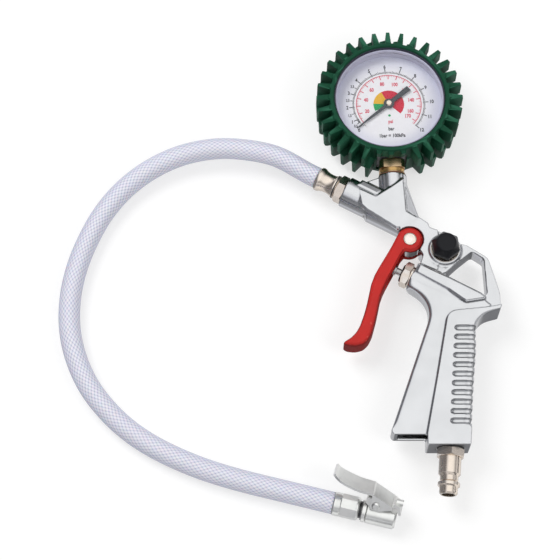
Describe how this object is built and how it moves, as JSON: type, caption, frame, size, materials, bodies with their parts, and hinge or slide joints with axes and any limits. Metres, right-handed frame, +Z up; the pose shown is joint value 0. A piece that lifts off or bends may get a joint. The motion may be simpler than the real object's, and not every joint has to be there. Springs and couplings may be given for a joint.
{
  "type": "tyre inflator with gauge",
  "caption": "Hand-held tyre inflator: cast pistol grip with squeeze lever, dial gauge in a treaded rubber boot, braided hose and clip-on chuck.",
  "frame": {"origin": "centre of the pistol and gauge's footprint, on the table that the boot's back rests on", "axes": "+Z up out of the dial's face as it lies on its side, +Y along the pistol towards the gauge, +X towards the back of the grip"},
  "size_m": [0.2449, 0.2866, 0.0331],
  "materials": {
    "cast_aluminium": "tumble-polished die casting",
    "red_paint": "gloss red enamel",
    "nickel": "nickel plated, turned",
    "chuck_chrome": "satin chrome plated",
    "brass": "bare turned brass",
    "steel": "bright wire and turned steel",
    "hose_pvc": "milky clear PVC over a white braid",
    "green_rubber": "satin moulded rubber",
    "black_rubber": "nitrile rubber",
    "red_fibre": "pressed fibre washer",
    "black_plastic": "moulded hard plastic",
    "case_steel": "dark enamelled sheet steel",
    "grey_trim": "pale grey moulded ring",
    "clear_window": "clear polycarbonate",
    "dial_white": "white lacquered dial plate",
    "ink_black": "printed",
    "ink_red": "printed",
    "ink_green": "printed",
    "ink_yellow": "printed",
    "pointer_grey": "matt dark enamel"
  },
  "bodies": {
    "pistol": {"body": "cast_aluminium", "inlet_plug": "nickel", "inlet_seal": "black_rubber", "outlet_fitting": "nickel", "outlet_ferrule": "nickel", "hose": "hose_pvc", "chuck_ferrule": "chuck_chrome", "chuck_neck": "steel", "chuck_body": "chuck_chrome", "chuck_seal": "black_rubber", "chuck_opener": "brass", "chuck_rivet": "steel", "chuck_spring": "steel", "lever_pin": "nickel", "valve_gland": "nickel", "valve_seal": "black_rubber", "valve_seat": "brass", "valve_spring": "steel", "button_collar": "nickel", "button_spring": "steel", "gauge_socket": "brass", "gauge_gasket": "red_fibre", "gauge_case": "case_steel", "gauge_boot": "green_rubber", "gauge_spacer": "grey_trim", "gauge_bezel": "grey_trim", "gauge_window": "clear_window", "dial_plate": "dial_white", "dial_bar_scale": "ink_black", "dial_psi_scale": "ink_red", "dial_green": "ink_green", "dial_yellow": "ink_yellow", "dial_red": "ink_red", "bourdon_tube": "brass", "tube_tip": "brass", "gauge_link": "steel", "movement_frame": "brass", "hairspring": "steel"},
    "lever_body": {"lever": "red_paint"},
    "valve": {"valve_rod": "steel", "valve_poppet": "black_rubber"},
    "button_body": {"button": "black_plastic", "button_rod": "steel", "button_poppet": "black_rubber"},
    "pointer_body": {"pointer": "pointer_grey", "pointer_cap": "brass", "pinion": "brass"},
    "sector": {"sector_gear": "brass"},
    "clip_body": {"chuck_lever": "chuck_chrome"}
  },
  "joints": [
    {"name": "lever_squeeze", "type": "hinge", "parent": "pistol", "child": "lever_body", "pos_m": [0.00115, 0.00915, 0.0136], "axis": [0, 0, 1], "range_deg": [0, 7.5], "stiffness_Nm_per_rad": 1.5, "springref_deg": -11.46},
    {"name": "valve_travel", "type": "slide", "parent": "pistol", "child": "valve", "axis": [0.9063, -0.4226, 0], "range_m": [0, 0.0026], "deforming": ["valve_spring"]},
    {"name": "button_press", "type": "slide", "parent": "pistol", "child": "button_body", "axis": [0, 0, -1], "range_m": [0, 0.0016], "stiffness_N_per_m": 800, "springref_m": -0.002, "deforming": ["button_spring"]},
    {"name": "pointer_turn", "type": "hinge", "parent": "pistol", "child": "pointer_body", "pos_m": [-0.00875, 0.09305, 0.0136], "axis": [0, 0, -1], "range_deg": [0, 261.7], "stiffness_Nm_per_rad": 0.0001, "springref_deg": -5.73, "deforming": ["hairspring"]},
    {"name": "sector_turn", "type": "hinge", "parent": "pistol", "child": "sector", "pos_m": [-0.00829, 0.07836, 0.0136], "axis": [0, 0, 1], "range_deg": [0, 43.7], "deforming": ["gauge_link"]},
    {"name": "clip_press", "type": "hinge", "parent": "pistol", "child": "clip_body", "pos_m": [-0.01943, -0.13735, 0.01274], "axis": [-0.1745, -0.7102, 0.682], "range_deg": [0, 13], "stiffness_Nm_per_rad": 0.15, "springref_deg": -14.32, "deforming": ["chuck_spring"]}
  ],
  "couplings": [
    {"joint": "valve_travel", "follows": "lever_squeeze", "m_per_rad": 0.0186},
    {"joint": "sector_turn", "follows": "pointer_turn", "ratio": 0.16667}
  ]
}
